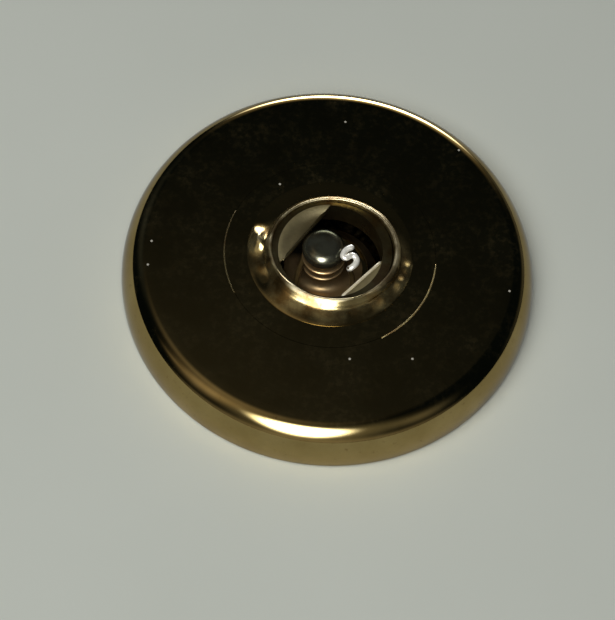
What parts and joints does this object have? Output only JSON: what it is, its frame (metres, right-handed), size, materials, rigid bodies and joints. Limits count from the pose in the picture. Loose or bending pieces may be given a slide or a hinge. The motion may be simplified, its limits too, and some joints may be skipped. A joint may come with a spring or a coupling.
{
  "type": "enamel pin",
  "caption": "Round hard-enamel pin with a rounded hollow gold-plated back, a grooved post and a low swivel clutch with a raised mouth.",
  "frame": {"origin": "centre of the enamel front, which the pin rests on", "axes": "+Z out of the back along the post; +X to the right with the back up; +Y away from the viewer"},
  "size_m": [0.02, 0.02, 0.0032],
  "materials": {
    "gold_plate": "polished gold plate on brass",
    "post_metal": "turned brass, plating worn thin",
    "spring_wire": "bright drawn spring wire",
    "solder": "dull tin solder",
    "enamel_white": "polished flush enamel",
    "enamel_red": "polished flush enamel",
    "enamel_blue": "polished flush enamel",
    "enamel_teal": "polished flush enamel"
  },
  "bodies": {
    "pin": {"back_shell": "gold_plate", "front_plate": "gold_plate", "enamel_center": "enamel_white", "enamel_petal_1": "enamel_red", "enamel_petal_2": "enamel_red", "enamel_petal_3": "enamel_red", "enamel_petal_4": "enamel_red", "enamel_petal_5": "enamel_red", "enamel_petal_6": "enamel_red", "enamel_wedge_1": "enamel_blue", "enamel_wedge_2": "enamel_blue", "enamel_wedge_3": "enamel_blue", "enamel_wedge_4": "enamel_blue", "enamel_wedge_5": "enamel_blue", "enamel_wedge_6": "enamel_blue", "enamel_border": "enamel_teal", "rim_solder": "solder", "post": "post_metal", "post_solder": "solder"},
    "sleeve": {"guide_sleeve": "gold_plate", "leaf_right": "gold_plate", "leaf_left": "gold_plate"},
    "cap": {"clutch_flange": "gold_plate", "clutch_collar": "gold_plate"},
    "wire_right": {"grip_wire_right": "spring_wire"},
    "wire_left": {"grip_wire_left": "spring_wire"}
  },
  "joints": [
    {"name": "clutch_pull", "type": "slide", "parent": "pin", "child": "sleeve", "axis": [0, 0, 1], "range_m": [0, 0.004]},
    {"name": "cap_turn", "type": "hinge", "parent": "sleeve", "child": "cap", "pos_m": [0, 0, 0.0024], "axis": [0, 0, 1], "continuous": true},
    {"name": "wire_right_spread", "type": "slide", "parent": "sleeve", "child": "wire_right", "axis": [0.9962, -0.0872, 0], "range_m": [0, 0.00015], "stiffness_N_per_m": 30},
    {"name": "wire_left_spread", "type": "slide", "parent": "sleeve", "child": "wire_left", "axis": [-0.9962, 0.0872, 0], "range_m": [0, 0.00015]}
  ],
  "couplings": [
    {"joint": "wire_left_spread", "follows": "wire_right_spread", "ratio": 1}
  ]
}
